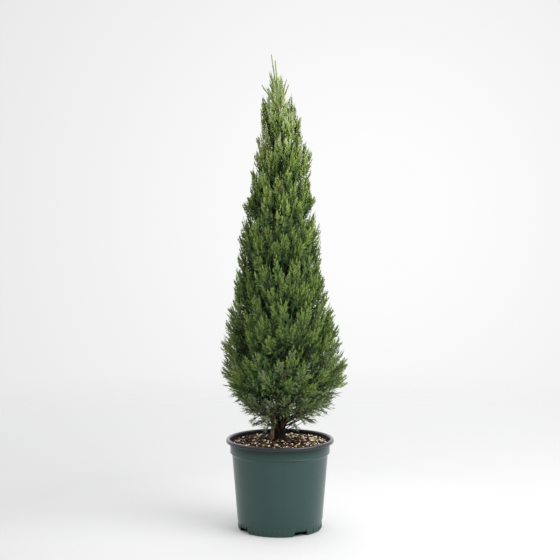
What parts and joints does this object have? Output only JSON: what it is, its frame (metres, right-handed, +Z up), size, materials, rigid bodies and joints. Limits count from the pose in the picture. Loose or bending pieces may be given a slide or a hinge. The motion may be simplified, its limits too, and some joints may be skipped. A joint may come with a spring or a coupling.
{
  "type": "potted chinese juniper",
  "caption": "Slim flame-shaped evergreen conifer with dense feathery green foliage, standing in a round stepped plastic nursery pot of bark mix",
  "frame": {"origin": "centre of the flat underside of the pot, which stands on the ground", "axes": "+Z up along the trunk, -Y towards the front that the picture shows, +X to the right of that view"},
  "size_m": [0.4019, 0.4073, 1.5501],
  "materials": {
    "pot": "dark green plastic with a soft sheen, black inside and on the rim",
    "potting_mix": "damp bark mix with pale chips, rough",
    "bark": "brown fibrous bark, rough",
    "foliage": "fine green needled sprays, matte"
  },
  "bodies": {
    "root": {"bough_1_1": "bark", "bough_1_2": "bark", "bough_1_3": "bark", "bough_1_4": "bark", "bough_1_5": "bark", "bough_2_1": "bark", "bough_2_2": "bark", "bough_2_3": "bark", "bough_2_5": "bark", "bough_2_6": "bark", "foliage_1_1": "foliage", "foliage_1_2": "foliage", "foliage_1_3": "foliage", "foliage_1_4": "foliage", "foliage_1_5": "foliage", "foliage_2_1": "foliage", "foliage_2_2": "foliage", "foliage_2_3": "foliage", "foliage_2_4": "foliage", "foliage_2_5": "foliage", "foliage_2_6": "foliage", "foliage_3_1": "foliage", "foliage_3_2": "foliage", "foliage_3_3": "foliage", "foliage_3_4": "foliage", "foliage_3_5": "foliage", "foliage_3_6": "foliage", "foliage_4_1": "foliage", "foliage_4_2": "foliage", "foliage_4_3": "foliage", "foliage_4_4": "foliage", "foliage_4_5": "foliage", "foliage_5_1": "foliage", "foliage_5_2": "foliage", "foliage_5_3": "foliage", "foliage_5_4": "foliage", "foliage_5_5": "foliage", "foliage_6_1": "foliage", "foliage_6_2": "foliage", "foliage_6_3": "foliage", "foliage_6_4": "foliage", "foliage_7_1": "foliage", "foliage_7_2": "foliage", "foliage_7_3": "foliage", "foliage_7_4": "foliage", "foliage_8_1": "foliage", "foliage_8_2": "foliage", "foliage_8_3": "foliage", "foliage_leader": "foliage", "pot": "pot", "potting_mix": "potting_mix", "side_stem": "bark", "trunk": "bark"}
  },
  "joints": []
}
